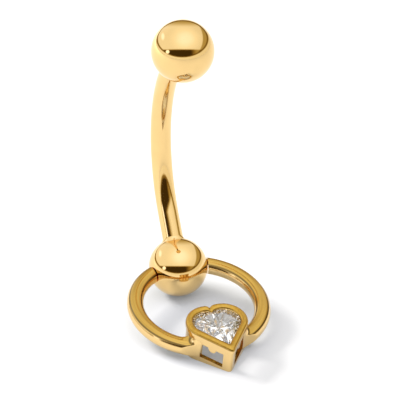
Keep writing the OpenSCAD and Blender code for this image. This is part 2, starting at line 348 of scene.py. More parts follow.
def lathe(profile, origin, axis, steps):
    """Surface of revolution.

    Point (r, h) of the profile turns into origin + h * axis + r * (cos(a) * u + sin(a) * v) for every
    angle a, where u, v and axis are square to each other. The first and last points lie on the axis.
    """
    u = -square_to(axis)
    v = np.cross(axis, u)
    turn = np.linspace(0, 2 * math.pi, steps, endpoint=False)
    circle = np.cos(turn)[:, None] * u + np.sin(turn)[:, None] * v
    inner = profile[1:-1]
    rings = origin + inner[:, 1, None, None] * axis + inner[:, 0, None, None] * circle
    return skin_of_rings(rings, origin + profile[0, 1] * axis, origin + profile[-1, 1] * axis)


def arc(radius, start, end, steps):
    """Points (radius cos(a), radius sin(a)) of a circle, with a from start to end."""
    turn = np.linspace(start, end, steps)
    return radius * np.stack([np.cos(turn), np.sin(turn)], axis=-1)


def put_piece(name, verts, faces, material, body, node):
    """Makes a mesh object at the origin, smooth but for its sharp edges, and ties it to the frame."""
    mesh = bpy.data.meshes.new(name)
    mesh.from_pydata(verts.tolist(), [], faces)
    mesh.materials.append(material)
    mesh.shade_smooth()
    mesh.set_sharp_from_angle(angle=SHARP_ANGLE)
    mesh.update()
    piece = bpy.data.objects.new(name, mesh)
    bpy.context.scene.collection.objects.link(piece)
    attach(piece, body)
    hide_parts(node)
    return piece


class Shader:
    """Adds nodes to a node tree and joins them."""

    def __init__(self, tree):
        self.nodes, self.links = tree.nodes, tree.links

    def join(self, value, socket):
        """Links an output to the socket, or sets a constant on it."""
        if isinstance(value, bpy.types.NodeSocket):
            self.links.new(value, socket)
        else:
            socket.default_value = value

    def maths(self, operation, *values):
        """Math node."""
        node = self.nodes.new("ShaderNodeMath")
        node.operation = operation
        for value, socket in zip(values, node.inputs):
            self.join(value, socket)
        return node.outputs["Value"]

    def vector(self, operation, first, second):
        """Vector Math node: its number for a dot product, and its vector otherwise."""
        node = self.nodes.new("ShaderNodeVectorMath")
        node.operation = operation
        self.join(first, node.inputs[0])
        self.join(second, node.inputs[1])
        return node.outputs["Value" if operation == "DOT_PRODUCT" else "Vector"]

    def ease(self, value, low, high, at_low=0.0, at_high=1.0):
        """Map Range node that eases from at_low to at_high while the value runs from low to high."""
        node = self.nodes.new("ShaderNodeMapRange")
        node.interpolation_type = "SMOOTHSTEP"
        self.join(value, node.inputs["Value"])
        self.join(low, node.inputs["From Min"])
        self.join(high, node.inputs["From Max"])
        self.join(at_low, node.inputs["To Min"])
        self.join(at_high, node.inputs["To Max"])
        return node.outputs["Result"]

    def noise(self, place, scale, detail):
        """Noise Texture node."""
        node = self.nodes.new("ShaderNodeTexNoise")
        node.inputs["Scale"].default_value = scale
        node.inputs["Detail"].default_value = detail
        self.join(place, node.inputs["Vector"])
        return node.outputs["Fac"]

    def blend(self, factor, first, second):
        """Mix node between two colours."""
        node = self.nodes.new("ShaderNodeMix")
        node.data_type = "RGBA"
        colours = [socket for socket in node.inputs if socket.type == "RGBA"]
        self.join(factor, node.inputs[0])
        self.join(first, colours[0])
        self.join(second, colours[1])
        return next(socket for socket in node.outputs if socket.type == "RGBA")

    def ramp(self, value, stops):
        """Color Ramp node with the given positions and colours, in rising order."""
        node = self.nodes.new("ShaderNodeValToRGB")
        elements = node.color_ramp.elements
        for element, (position, shade) in zip(elements, (stops[0], stops[-1])):
            element.position = position
            element.color = (*shade, 1.0)
        for position, shade in stops[1:-1]:
            elements.new(position).color = (*shade, 1.0)
        self.join(value, node.inputs["Fac"])
        return node.outputs["Color"]


def along_wire(shader, place, middle, axis):
    """Place measured along a bent wire, so that noise turns into draw lines.

    The result is (distance from the axis, height along it, a little of the angle round it).
    """
    off = shader.vector("SUBTRACT", place, tuple(middle))
    height = shader.vector("DOT_PRODUCT", off, tuple(axis))
    side = square_to(axis)
    first = shader.vector("DOT_PRODUCT", off, tuple(side))
    second = shader.vector("DOT_PRODUCT", off, tuple(np.cross(axis, side)))
    distance = shader.maths("SQRT", shader.maths(
        "ADD", shader.maths("MULTIPLY", first, first), shader.maths("MULTIPLY", second, second)))
    turn = shader.maths("MULTIPLY", shader.maths("ARCTAN2", second, first), LINE_TURN)
    joined = shader.nodes.new("ShaderNodeCombineXYZ")
    for value, socket in zip((distance, height, turn), joined.inputs):
        shader.join(value, socket)
    return joined.outputs["Vector"]


def gold(name, roughness, mark_depth, lines=None, satin=None):
    """Gold with cloudy colour, uneven polish and fine marks of the given depth.

    With lines, a middle and an axis, the marks run along a wire that is bent round them. With satin,
    an axis, a border and a colour, the faces that look along the axis take that colour: a brushed
    grain in a darker, browner tone, painted shade for the dim reflections on the tops. The border is
    the cosine of the angle between the axis and the last satin face. A thin painted dark line, which
    stands in for a dark reflection along the edge, runs along it.
    """
    material = bpy.data.materials.get(name)
    if material:
        return material
    material = bpy.data.materials.new(name)
    material.use_nodes = True
    shader = Shader(material.node_tree)
    surface = shader.nodes["Principled BSDF"]
    surface.inputs["Metallic"].default_value = 1.0
    texture = shader.nodes.new("ShaderNodeTexCoord")
    place = texture.outputs["Object"]
    marks_place = along_wire(shader, place, *lines) if lines else place
    cloud = shader.noise(place, CLOUD_SCALE, CLOUD_DETAIL)
    marks = shader.noise(marks_place, LINE_SCALE if lines else GRAIN_SCALE, MARK_DETAIL)

    def shades(value, light, shade):
        """Colour that runs from a share of the light one up to it."""
        return shader.ramp(value, [(DARK_AT, tuple(shade * c for c in light)), (LIGHT_AT, tuple(light))])

    tint = shades(cloud, bpy.context.scene.navel_ring_finishes.polished_gold, CLOUD_SHADE)
    if satin:
        # The faces that look along the axis take the satin colour with a brushed grain: a darker tone
        # painted as shade for the dim reflections on the tops.
        axis, border, painted_satin_shade = satin
        facing = shader.vector("DOT_PRODUCT", texture.outputs["Normal"], tuple(axis))
        brushed_painted_shade = shades(marks, painted_satin_shade, BRUSHED_SHADE)
        tint = shader.blend(shader.ease(facing, border, border + SATIN_WIDTH), tint, brushed_painted_shade)
        # A thin painted dark line along the satin's border: painted shade that stands in for a dark
        # reflection along the edge.
        from_border = shader.maths("ABSOLUTE", shader.maths("SUBTRACT", facing, border))
        line = (*(PAINTED_LINE_SHADE * c for c in painted_satin_shade), 1.0)
        tint = shader.blend(shader.ease(from_border, *PAINTED_LINE_EASE), tint, line)
    shader.join(tint, surface.inputs["Base Color"])
    polish = shader.ease(marks, MARKS_LOW, MARKS_HIGH, SMOOTHEST * roughness, ROUGHEST * roughness)
    shader.join(polish, surface.inputs["Roughness"])
    bump = shader.nodes.new("ShaderNodeBump")
    bump.inputs["Strength"].default_value = MARK_STRENGTH
    bump.inputs["Distance"].default_value = mark_depth
    shader.join(marks, bump.inputs["Height"])
    shader.join(bump.outputs["Normal"], surface.inputs["Normal"])
    return material


def clear_stone():
    """Clear cut stone: strong refraction, a faint haze over some facets, and no shadow of its own."""
    material = bpy.data.materials.new("clear_stone")
    material.use_nodes = True
    shader = Shader(material.node_tree)
    surface = shader.nodes["Principled BSDF"]
    surface.inputs["Base Color"].default_value = STONE_COLOUR
    surface.inputs["Transmission Weight"].default_value = 1.0
    surface.inputs["IOR"].default_value = bpy.context.scene.navel_ring_finishes.stone_ior
    place = shader.nodes.new("ShaderNodeTexCoord").outputs["Object"]
    haze = shader.noise(place, HAZE_SCALE, HAZE_DETAIL)
    shader.join(shader.ease(haze, *HAZE_EASE), surface.inputs["Roughness"])
    clear = shader.nodes.new("ShaderNodeBsdfTransparent")
    path = shader.nodes.new("ShaderNodeLightPath")
    mix = shader.nodes.new("ShaderNodeMixShader")
    shader.links.new(path.outputs["Is Shadow Ray"], mix.inputs["Fac"])
    shader.links.new(surface.outputs["BSDF"], mix.inputs[1])
    shader.links.new(clear.outputs["BSDF"], mix.inputs[2])
    shader.links.new(mix.outputs["Shader"], shader.nodes["Material Output"].inputs["Surface"])
    return material


def spot_face(bar):
    """Radius of the screw ball's spot face, and its distance from the ball's middle."""
    radius = bar.bar_diameter / 2 + bar.spot_margin
    return radius, math.sqrt(TOP_BALL_RADIUS**2 - radius**2)


def bend_start(bar):
    """Turn where the bend starts: the way the post points, less the angle that the bend goes round."""
    return math.atan2(-POST_AXIS[1], POST_AXIS[2]) - bar.bend_angle


def bend_middle(bar):
    """Middle of the circle that the bar is bent round, past the straight part at its foot."""
    turn = bend_start(bar)
    ahead = np.array([0.0, -math.sin(turn), math.cos(turn)])
    outward = np.array([0.0, math.cos(turn), math.sin(turn)])
    return HINGE + bar.foot_straight * ahead - bar.bend_radius * outward


def bar_path(bar, along):
    """Points and tangents of the bar's middle line, by the distance along it from the hinge line.

    On the bend the point is middle + R (0, cos a, sin a), with a from the bend's start to its end.
    Before and past the bend the point runs straight along the tangent.
    """
    bent = np.clip(along - bar.foot_straight, 0, bar.bend_radius * bar.bend_angle)
    straight = (along - bar.foot_straight - bent)[:, None]
    a = bend_start(bar) + bent / bar.bend_radius
    outward = np.stack([np.zeros_like(a), np.cos(a), np.sin(a)], axis=-1)
    tangents = np.stack([np.zeros_like(a), -np.sin(a), np.cos(a)], axis=-1)
    return bend_middle(bar) + bar.bend_radius * outward + straight * tangents, tangents


class NAVELRING_OT_bar(bpy.types.Operator):
    """Build the curved bar, with the post at its top and the solder at its foot"""

    bl_idname = "navel_ring.bar"
    bl_label = "Curved Bar"

    def execute(self, context):
        bar = context.scene.navel_ring_bar
        radius = bar.bar_diameter / 2
        post = bar.post_diameter / 2
        shoulder = bar.foot_straight + bar.bend_radius * bar.bend_angle
        points, tangents = bar_path(bar, np.linspace(BAR_START * LOWER_BALL_RADIUS, shoulder, BAR_RINGS))
        # The solder's section is a quarter circle that runs out on the bar
        above_ball = np.linalg.norm(points - HINGE, axis=1) - math.sqrt(LOWER_BALL_RADIUS**2 - radius**2)
        left = np.clip(bar.foot_fillet - above_ball, 0, bar.foot_fillet)
        radii = radius + bar.foot_fillet - np.sqrt(bar.foot_fillet**2 - left**2)
        axis = tangents[-1]
        ahead = np.array([0.0, 0.0, bar.post_length - bar.chamfer, bar.post_length])
        ends = points[-1] + ahead[:, None] * axis
        points[-1] = points[-1] - bar.chamfer * axis
        end_radii = [radius - bar.chamfer, post, post, post - bar.chamfer]
        path = np.concatenate([points, ends])
        way = np.concatenate([tangents, np.tile(axis, (len(ahead), 1))])
        size = np.concatenate([radii, end_radii])
        turn = np.linspace(0, 2 * math.pi, BAR_AROUND, endpoint=False)[:, None]
        sideways = np.cross(way, ACROSS)[:, None, :]
        circle = np.cos(turn) * ACROSS + np.sin(turn) * sideways
        rings = path[:, None, :] + size[:, None, None] * circle
        verts, faces = skin_of_rings(rings, points[0], ends[-1])
        finish = context.scene.navel_ring_finishes
        metal = gold("drawn_bar", finish.bar_roughness, BAR_MARKS, (bend_middle(bar), ACROSS))
        put_piece("curved_bar", verts, faces, metal, "bar", "barbell")
        return {"FINISHED"}


class NAVELRING_OT_lower_ball(bpy.types.Operator):
    """Build the ball at the bar's foot, with a socket on each side for the hoop"""

    bl_idname = "navel_ring.lower_ball"
    bl_label = "Lower Ball"

    def execute(self, context):
        bar = context.scene.navel_ring_bar
        hoop = context.scene.navel_ring_hoop
        socket = hoop.pin_diameter / 2 + bar.pin_gap
        depth = LOWER_BALL_RADIUS - hoop.pin_depth - bar.pin_gap
        lip = math.acos(socket / LOWER_BALL_RADIUS)
        ball = arc(LOWER_BALL_RADIUS, -lip, lip, BALL_RINGS)
        bottom = np.array([[0, -depth], [socket, -depth]])
        profile = np.concatenate([bottom, ball, bottom[::-1] * [1, -1]])
        verts, faces = lathe(profile, HINGE, ACROSS, BALL_AROUND)
        metal = gold("polished_ball", context.scene.navel_ring_finishes.ball_roughness, BALL_MARKS)
        put_piece("lower_ball", verts, faces, metal, "bar", "barbell")
        return {"FINISHED"}


class NAVELRING_OT_screw_ball(bpy.types.Operator):
    """Build the screw ball, with its spot face and the blind hole for the post"""

    bl_idname = "navel_ring.screw_ball"
    bl_label = "Screw Ball"

    def execute(self, context):
        bar = context.scene.navel_ring_bar
        spot, face = spot_face(bar)
        hole = bar.post_diameter / 2 + bar.pin_gap
        hole_end = bar.post_length + bar.post_end_gap - face - bar.seat_gap
        ball = arc(TOP_BALL_RADIUS, math.atan2(-face, spot), math.pi / 2, BALL_RINGS)
        profile = np.concatenate([[[0, hole_end], [hole, hole_end], [hole, -face]], ball])
        verts, faces = lathe(profile, TOP_BALL_MIDDLE, POST_AXIS, BALL_AROUND)
        metal = gold("polished_ball", context.scene.navel_ring_finishes.ball_roughness, BALL_MARKS)
        put_piece("screw_ball", verts, faces, metal, "end_ball", "top_ball")
        return {"FINISHED"}


def tip_reach(heart, grow):
    """Distance from the line through the lobes to the sharp tip of the heart, grown by an offset."""
    run = heart.lobe_spacing * math.cos(heart.side_angle) + heart.lobe_radius + grow
    return run / math.sin(heart.side_angle)


def window_span(heart):
    """Start and end of the window, measured along the straight side from the end of the lobe."""
    reach = tip_reach(heart, -heart.rim_overhang)
    side = reach * math.cos(heart.side_angle) + heart.lobe_spacing * math.sin(heart.side_angle)
    end = side - heart.window_from_tip
    return end - heart.window_length, end


def hoop_pitch(heart):
    """Tilt of the hoop's plane that sets the ball and the foot's tip on one surface."""
    tip = heart.heart_reach + tip_reach(heart, -heart.rim_overhang)
    below = math.asin(LOWER_BALL_RADIUS / math.hypot(tip, heart.foot_drop))
    return below - math.atan2(heart.foot_drop, tip)


def hoop_axis(heart):
    """Direction square to the hoop's plane, which looks up."""
    pitch = hoop_pitch(heart)
    return np.array([0.0, -math.sin(pitch), math.cos(pitch)])


def from_hoop_plane(points, heart):
    """Turns points by the hoop's pitch about the X axis, and moves them to the hinge line."""
    pitch = hoop_pitch(heart)
    x, y, z = np.moveaxis(points, -1, 0)
    turned = [x, y * math.cos(pitch) - z * math.sin(pitch), y * math.sin(pitch) + z * math.cos(pitch)]
    return np.stack(turned, axis=-1) + HINGE


def heart_half(heart, grow, lobe_shares, side_fixed, side_shares):
    """Right half of the heart's outline at one or more offsets, with one row for each.

    On the lobe the point is (spacing, 0) + (R + grow) (cos a, sin a), with a from the notch, where
    x is zero, round to the straight side. On the side it runs on by the fixed length, plus a share
    of what is left to the sharp tip.
    """
    grow = np.atleast_1d(grow)[:, None]
    radius = heart.lobe_radius + grow
    side = heart.side_angle
    notch = np.arccos(-heart.lobe_spacing / radius)
    a = notch + lobe_shares * (-side - notch)
    to_middle = (heart.lobe_spacing * math.cos(side) + radius) / math.tan(side)
    full = to_middle + heart.lobe_spacing * math.sin(side)
    along = side_fixed + side_shares * (full - side_fixed)
    side_x = heart.lobe_spacing + radius * math.cos(side) - along * math.sin(side)
    side_y = -radius * math.sin(side) - along * math.cos(side)
    x = np.concatenate([heart.lobe_spacing + radius * np.cos(a), side_x], axis=1)
    y = np.concatenate([radius * np.sin(a), side_y], axis=1)
    x[:, 0] = 0
    x[:, -1] = 0
    return x, y


def side_place(heart, x, y):
    """Place of a point against the right straight side: how far out from it, and how far along it.

    Out is the distance past the side's line at zero offset. Along is measured from the lobe's end.
    """
    side = heart.side_angle
    dx = x - heart.lobe_spacing
    out = dx * math.cos(side) - y * math.sin(side) - heart.lobe_radius
    along = -(dx * math.sin(side) + y * math.cos(side))
    return out, along


def torus(hoop, turn, radius, phi):
    """Point of the hoop: (R' sin t, R' cos t - offset, r sin phi), with R' = R + r cos phi."""
    out = hoop.hoop_radius + radius * np.cos(phi)
    return out * np.sin(turn), out * np.cos(turn) - hoop.hoop_offset, radius * np.sin(phi)


def arm_start(hoop, phi):
    """Turn at which each line of the wire's skin meets a sphere round the ball.

    It is the law of cosines, for the triangle of the hoop's middle, the ball's middle and the point.
    """
    radius = hoop.wire_diameter / 2
    ball = LOWER_BALL_RADIUS + hoop.end_gap
    out = hoop.hoop_radius + radius * np.cos(phi)
    squares = out**2 + hoop.hoop_offset**2 + (radius * np.sin(phi)) ** 2 - ball**2
    return np.arccos(squares / (2 * hoop.hoop_offset * out))


def arm_end(hoop, heart, phi, stop):
    """Turn at which each line of the wire's skin ends, found by halving.

    It ends half way through the heart's wall, or at a distance along the straight side, next to the
    window, where it would pass that first.
    """
    low = np.full(phi.shape, math.pi / 2)
    high = np.full(phi.shape, math.pi)
    depth = -heart.rim_overhang - heart.wall / 2
    for _ in range(HALVINGS):
        middle = (low + high) / 2
        x, y, _ = torus(hoop, middle, hoop.wire_diameter / 2, phi)
        side_out, along = side_place(heart, x, y + heart.heart_reach)
        lobe_out = np.hypot(x - heart.lobe_spacing, y + heart.heart_reach) - heart.lobe_radius
        inside = np.where(along > 0, side_out, lobe_out) < depth
        blocked = inside | (along > stop)
        high = np.where(blocked, middle, high)
        low = np.where(blocked, low, middle)
    return low


def arm_skin(hoop, heart, phi):
    """Rings of the bent wire, from the ball to the heart.

    The wire's radius is r + n (flare + rise sin(phi)^2 on its top), with n = exp(-(d / reach)^1.5) at
    the distance d from the heart. Where it passes the heart's straight side it is filed back to it.
    """
    stop = window_span(heart)[0] - WINDOW_CLEARANCE
    start = arm_start(hoop, phi)
    end = arm_end(hoop, heart, phi, stop)
    share_along = 1 - (1 - np.linspace(0, 1, WIRE_RINGS)[:, None]) ** CROWDING
    turn = start + share_along * (end - start)
    to_heart = np.clip(end - turn, 0, None) * hoop.hoop_radius
    near = np.exp(-((to_heart / hoop.web_reach) ** WEB_FALL))
    climb = np.clip(np.sin(phi), 0, 1) ** WEB_TOP
    radii = hoop.wire_diameter / 2 + near * (hoop.solder_flare + hoop.web_rise * climb)
    x, y, z = torus(hoop, turn, radii, phi)
    side_out, along = side_place(heart, x, y + heart.heart_reach)
    before = np.clip(stop - along, 0, None)
    leaves = FILED_RISE * before**FILED_POWER / math.sqrt(MM)
    extra = np.clip(side_out - (hoop.flush_proud - heart.rim_overhang + leaves), 0, None)
    x = x - extra * math.cos(heart.side_angle)
    y = y + extra * math.sin(heart.side_angle)
    return np.stack([x, y, z], axis=-1)


def arm_rings(hoop, heart):
    """Rings of the right arm: the pin, the concave end and the bent wire.

    The concave end is drawn in from the wire's skin to the pin, on a sphere round the ball.
    """
    phi = np.linspace(0, 2 * math.pi, WIRE_AROUND, endpoint=False)
    ball = LOWER_BALL_RADIUS + hoop.end_gap
    skin = arm_skin(hoop, heart, phi)
    shrink = np.linspace(0, 1, CONCAVE_STEPS)[1:-1, None, None]
    pin = hoop.pin_diameter / 2 * np.stack([np.cos(phi), np.sin(phi)], axis=-1)
    face_yz = pin + shrink * (skin[0, :, 1:] - pin)
    face_x = np.sqrt(ball**2 - (face_yz**2).sum(axis=-1, keepdims=True))
    reach = np.array([LOWER_BALL_RADIUS - hoop.pin_depth, ball - hoop.end_gap / 2])
    pin_x = np.broadcast_to(reach[:, None, None], (2, WIRE_AROUND, 1))
    pin_rings = np.concatenate([pin_x, np.broadcast_to(pin, (2, WIRE_AROUND, 2))], axis=-1)
    return np.concatenate([pin_rings, np.concatenate([face_x, face_yz], axis=-1), skin])


class NAVELRING_OT_hoop(bpy.types.Operator):
    """Build the hoop's two arms, from their pins in the lower ball to the heart's wall"""

    bl_idname = "navel_ring.hoop"
    bl_label = "Hoop"

    def execute(self, context):
        hoop = context.scene.navel_ring_hoop
        heart = context.scene.navel_ring_heart
        finish = context.scene.navel_ring_finishes
        middle = from_hoop_plane(np.array([0, -hoop.hoop_offset, 0]), heart)
        axis = hoop_axis(heart)
        # The wire's top takes the satin colour, which is painted shade, and a painted dark line along
        # its border.
        metal = gold("drawn_wire", finish.hoop_roughness, WIRE_MARKS, (middle, axis),
                     (axis, finish.wire_border, finish.wire_satin_shade))
        rings = arm_rings(hoop, heart)
        for side, name in ((1, "hoop_arm_right"), (-1, "hoop_arm_left")):
            world = from_hoop_plane(rings * [side, 1, 1], heart)
            first = from_hoop_plane(np.array([side * rings[0, 0, 0], 0, 0]), heart)
            verts, faces = skin_of_rings(world, first, world[-1].mean(axis=0))
            if side < 0:
                faces = [corners[::-1] for corners in faces]
            put_piece(name, verts, faces, metal, "hoop", "heart_hoop")
        return {"FINISHED"}


def setting_section(heart, stone):
    """Section of the setting as (offset, height) points, from the outer foot over to the inner foot.

    The rim's top is a quarter of an ellipse on each side of its crest. A height that isn't a number
    marks the foot, which the surface it stands on trims.
    """
    wall_out = -heart.rim_overhang
    wall_in = wall_out - heart.wall
    rim_in = -heart.rim_width
    rim_low = heart.rim_top - heart.rim_height
    girdle_low = stone.girdle_height - stone.girdle / 2
    girdle_high = stone.girdle_height + stone.girdle / 2
    side = heart.side_angle
    stone_radius = heart.lobe_radius + rim_in + stone.cover
    side_distance = stone_radius + heart.lobe_spacing * math.cos(side) - stone.middle * math.sin(side)
    crown_slope = stone.crown / ((1 - stone.table_share) * side_distance)
    lip_low = girdle_high + stone.cover * crown_slope + stone.gap
    ledge_in = rim_in + stone.cover - stone.ledge_reach
    ledge_top = girdle_low - stone.ledge_reach * stone.pavilion / side_distance - stone.gap
    pocket = rim_in + stone.cover + stone.gap
    crest = CREST_SHARE * rim_in
    up = np.linspace(0, math.pi / 2, RIM_STEPS)
    outer_height = heart.rim_top - heart.rim_fall_out * (1 - np.sin(up))
    inner_height = heart.rim_top - heart.rim_fall_in * (1 - np.cos(up))
    outer = np.stack([crest * (1 - np.cos(up)), outer_height], axis=-1)
    inner = np.stack([crest + (rim_in - crest) * np.sin(up), inner_height], axis=-1)[1:]
    foot = float("nan")
    return np.concatenate([
        [[wall_out, foot], [wall_out, heart.window_low], [wall_out, heart.window_high],
         [wall_out, rim_low], [0, rim_low]],
        outer, inner,
        [[rim_in, lip_low], [pocket, lip_low], [pocket, girdle_low - stone.gap], [ledge_in, ledge_top],
         [ledge_in, ledge_top - stone.ledge], [wall_in, ledge_top - stone.ledge],
         [wall_in, heart.window_high], [wall_in, heart.window_low], [wall_in, foot]],
    ])


def side_columns(heart):
    """Lengths along the straight side at which the setting has columns: before and in the window.

    Round the half-round tab they stand at the cosines of even steps.
    """
    start, end = window_span(heart)
    tab = (start + end) / 2 - heart.tab_radius * np.cos(np.linspace(0, math.pi, TAB_STEPS))
    before = np.linspace(0, start, BEFORE_WINDOW_STEPS)[1:]
    up_to_tab = np.linspace(start, tab[0], BESIDE_TAB_STEPS)[1:-1]
    past_tab = np.linspace(tab[-1], end, BESIDE_TAB_STEPS)[1:]
    return before, np.concatenate([up_to_tab, tab, past_tab])


def round_tip(heart, x, y):
    """Bends the last columns of the half outline into a parabola between the heart's two sides.

    With s from zero to a half, a point is tip + r (sin(side) (1 - 2 s), cos(side) (1 - 2 s (1 - s))),
    where r is the length of each side that the rounding takes up.
    """
    before = -TIP_COLUMNS - 1
    tip = y[:, -1:].copy()
    left = np.hypot(x[:, before], y[:, before] - y[:, -1])
    rounding = np.full(len(x), INNER_ROUNDING)
    rounding[:RIM_TOP_ROWS.stop + 1] = heart.tip_rounding
    rounding = np.minimum(rounding, MOST_ROUNDING * left)[:, None]
    s = np.linspace(0, 0.5, TIP_COLUMNS)
    x[:, -TIP_COLUMNS:] = rounding * math.sin(heart.side_angle) * (1 - 2 * s)
    y[:, -TIP_COLUMNS:] = tip + rounding * math.cos(heart.side_angle) * (1 - 2 * s * (1 - s))


def window_reveals(index, low, high):
    """Quads of one window's sill, head and jambs, which join the wall's outer face to its inner one."""
    sill = [index[SILL_OUT, low + 1:high + 1], index[SILL_OUT, low:high],
            index[SILL_IN, low:high], index[SILL_IN, low + 1:high + 1]]
    head = [index[HEAD_OUT, low:high], index[HEAD_OUT, low + 1:high + 1],
            index[HEAD_IN, low + 1:high + 1], index[HEAD_IN, low:high]]
    jambs = [
        index[[SILL_OUT, HEAD_OUT, HEAD_IN, SILL_IN], low],
        index[[HEAD_OUT, SILL_OUT, SILL_IN, HEAD_IN], high],
    ]
    return np.concatenate([np.stack(sill, axis=-1), np.stack(head, axis=-1), jambs])


class NAVELRING_OT_setting(bpy.types.Operator):
    """Build the heart setting: rim, wall with its windows and tabs, ledge and foot"""

    bl_idname = "navel_ring.setting"
    bl_label = "Heart Setting"

    def execute(self, context):
        heart = context.scene.navel_ring_heart
        section = setting_section(heart, context.scene.navel_ring_stone)
        # Each row is the heart's outline at an offset and a height of the section
        before, within = side_columns(heart)
        side_fixed = np.concatenate([before, within, np.full(TIP_COLUMNS, within[-1])])
        to_tip = np.linspace(0, 1, TIP_COLUMNS + 1)[1:]
        side_shares = np.concatenate([np.zeros(len(before) + len(within)), to_tip])
        x, y = heart_half(heart, section[:, 0], LOBE_SHARES, side_fixed, side_shares)
        y = y - heart.heart_reach
        round_tip(heart, x, y)
        pitch = hoop_pitch(heart)
        on_floor = -(LOWER_BALL_RADIUS + y * math.sin(pitch)) / math.cos(pitch)
        z = np.where(np.isnan(section[:, 1])[:, None], on_floor, section[:, 1][:, None])
        # The crease at the notch sinks by depth * exp(-(x / width)^2), on the rounded top alone
        lobes = len(LOBE_SHARES)
        crease = np.exp(-((x[RIM_TOP_ROWS, :lobes] / heart.notch_width) ** 2))
        z[RIM_TOP_ROWS, :lobes] -= heart.notch_depth * crease
        # The window's head follows the half-round tab, on the wall's outer and inner face
        from_tab = side_fixed[:-TIP_COLUMNS] - sum(window_span(heart)) / 2
        hang = np.sqrt(np.clip(heart.tab_radius**2 - from_tab**2, 0, None))
        z[HEAD_OUT, lobes:-TIP_COLUMNS] -= hang
        z[HEAD_IN, lobes:-TIP_COLUMNS] -= hang
        x = np.concatenate([x, -x[:, -2:0:-1]], axis=1)
        y = np.concatenate([y, y[:, -2:0:-1]], axis=1)
        z = np.concatenate([z, z[:, -2:0:-1]], axis=1)
        verts = from_hoop_plane(np.stack([x, y, z], axis=-1), heart).reshape(-1, 3)
        index = np.arange(x.size).reshape(x.shape)
        up = np.roll(index, -1, axis=0)
        quads = np.stack([index, up, np.roll(up, -1, axis=1), np.roll(index, -1, axis=1)], axis=-1)
        # The windows leave out the same faces of both walls, and reveals join what is left
        first = lobes + len(before) - 1
        last = first + len(within)
        columns = x.shape[1]
        keep = np.ones(x.shape, bool)
        reveals = []
        for low, high in ((first, last), (columns - last, columns - first)):
            keep[[SILL_OUT, HEAD_IN], low:high] = False
            reveals.append(window_reveals(index, low, high))
        faces = quads[keep].tolist() + np.concatenate(reveals).tolist()
        finish = context.scene.navel_ring_finishes
        # The rim's top takes the satin colour, which is painted shade, and a painted dark line along its
        # border.
        metal = gold("setting_gold", finish.hoop_roughness, RIM_MARKS,
                     satin=(hoop_axis(heart), finish.rim_border, finish.rim_satin_shade))
        piece = put_piece("heart_setting", verts, faces, metal, "hoop", "heart_hoop")
        bevel = piece.modifiers.new("polished edges", "BEVEL")
        bevel.width = heart.edge_rounding
        bevel.segments = BEVEL_SEGMENTS
        bevel.limit_method = "ANGLE"
        bevel.angle_limit = SHARP_ANGLE
        bevel.harden_normals = True
        return {"FINISHED"}


class NAVELRING_OT_stone(bpy.types.Operator):
    """Build the heart-shaped stone with its table, crown, girdle and pavilion facets"""

    bl_idname = "navel_ring.stone"
    bl_label = "Heart Stone"

    def execute(self, context):
        heart = context.scene.navel_ring_heart
        stone = context.scene.navel_ring_stone
        lobe_shares = np.linspace(0, 1, LOBE_FACETS + 1)
        side_shares = np.linspace(0, 1, SIDE_FACETS + 1)[1:]
        grow = stone.cover - heart.rim_width
        x, y = heart_half(heart, grow, lobe_shares, np.zeros(SIDE_FACETS), side_shares)
        half = np.stack([x[0], y[0]], axis=-1)
        # Anticlockwise from above, from the notch
        outline = np.roll(np.concatenate([half, half[-2:0:-1] * [-1, 1]])[::-1], 1, axis=0)
        centre = np.array([0, -stone.middle])
        low = stone.girdle_height - stone.girdle / 2
        high = stone.girdle_height + stone.girdle / 2

        def ring(points, size, height):
            """The outline drawn in towards the stone's middle to a share of its size, at a height."""
            flat = centre + (points - centre) * size
            return np.concatenate([flat, np.full((len(flat), 1), height)], axis=1)

        star_size = 1 - (1 - stone.table_share) * STAR_REACH
        rings = [
            ring(outline[::2], stone.table_share, high + stone.crown),
            ring(outline[1::2], star_size, high + stone.crown * STAR_HEIGHT),
            ring(outline, 1, high),
            ring(outline, 1, low),
            ring(outline[1::2], KEEL_SIZE, low - stone.pavilion * (1 - KEEL_SIZE) * KEEL_DEPTH),
            ring(outline[:1], 0, low - stone.pavilion),
        ]
        # Each facet's corners, by the first point of their ring
        firsts = np.cumsum([0] + [len(points) for points in rings[:-1]])
        i = np.arange(len(outline) // 2)
        after, behind = np.roll(i, -1), np.roll(i, 1)
        table, star = firsts[0] + i, firsts[1] + i
        table_after, star_behind = firsts[0] + after, firsts[1] + behind
        upper, upper_half, upper_after = (firsts[2] + k for k in (2 * i, 2 * i + 1, 2 * after))
        lower, lower_half, lower_after = (firsts[3] + k for k in (2 * i, 2 * i + 1, 2 * after))
        keel, keel_behind, tip = firsts[4] + i, firsts[4] + behind, firsts[5] + 0 * i
        facets = [
            (table, star, table_after), (table, star_behind, upper, star),
            (star, upper, upper_half), (star, upper_half, upper_after),
            (tip, keel, lower, keel_behind),
            (keel, lower_half, lower), (keel, lower_after, lower_half),
            (upper, lower, lower_half, upper_half), (upper_half, lower_half, lower_after, upper_after),
        ]
        faces = [table.tolist()]
        for corners in facets:
            faces += np.stack(corners, axis=-1).tolist()
        verts = from_hoop_plane(np.concatenate(rings) - [0, heart.heart_reach, 0], heart)
        piece = put_piece("cut_stone", verts, faces, clear_stone(), "hoop", "heart_stone")
        piece.data.shade_flat()
        return {"FINISHED"}


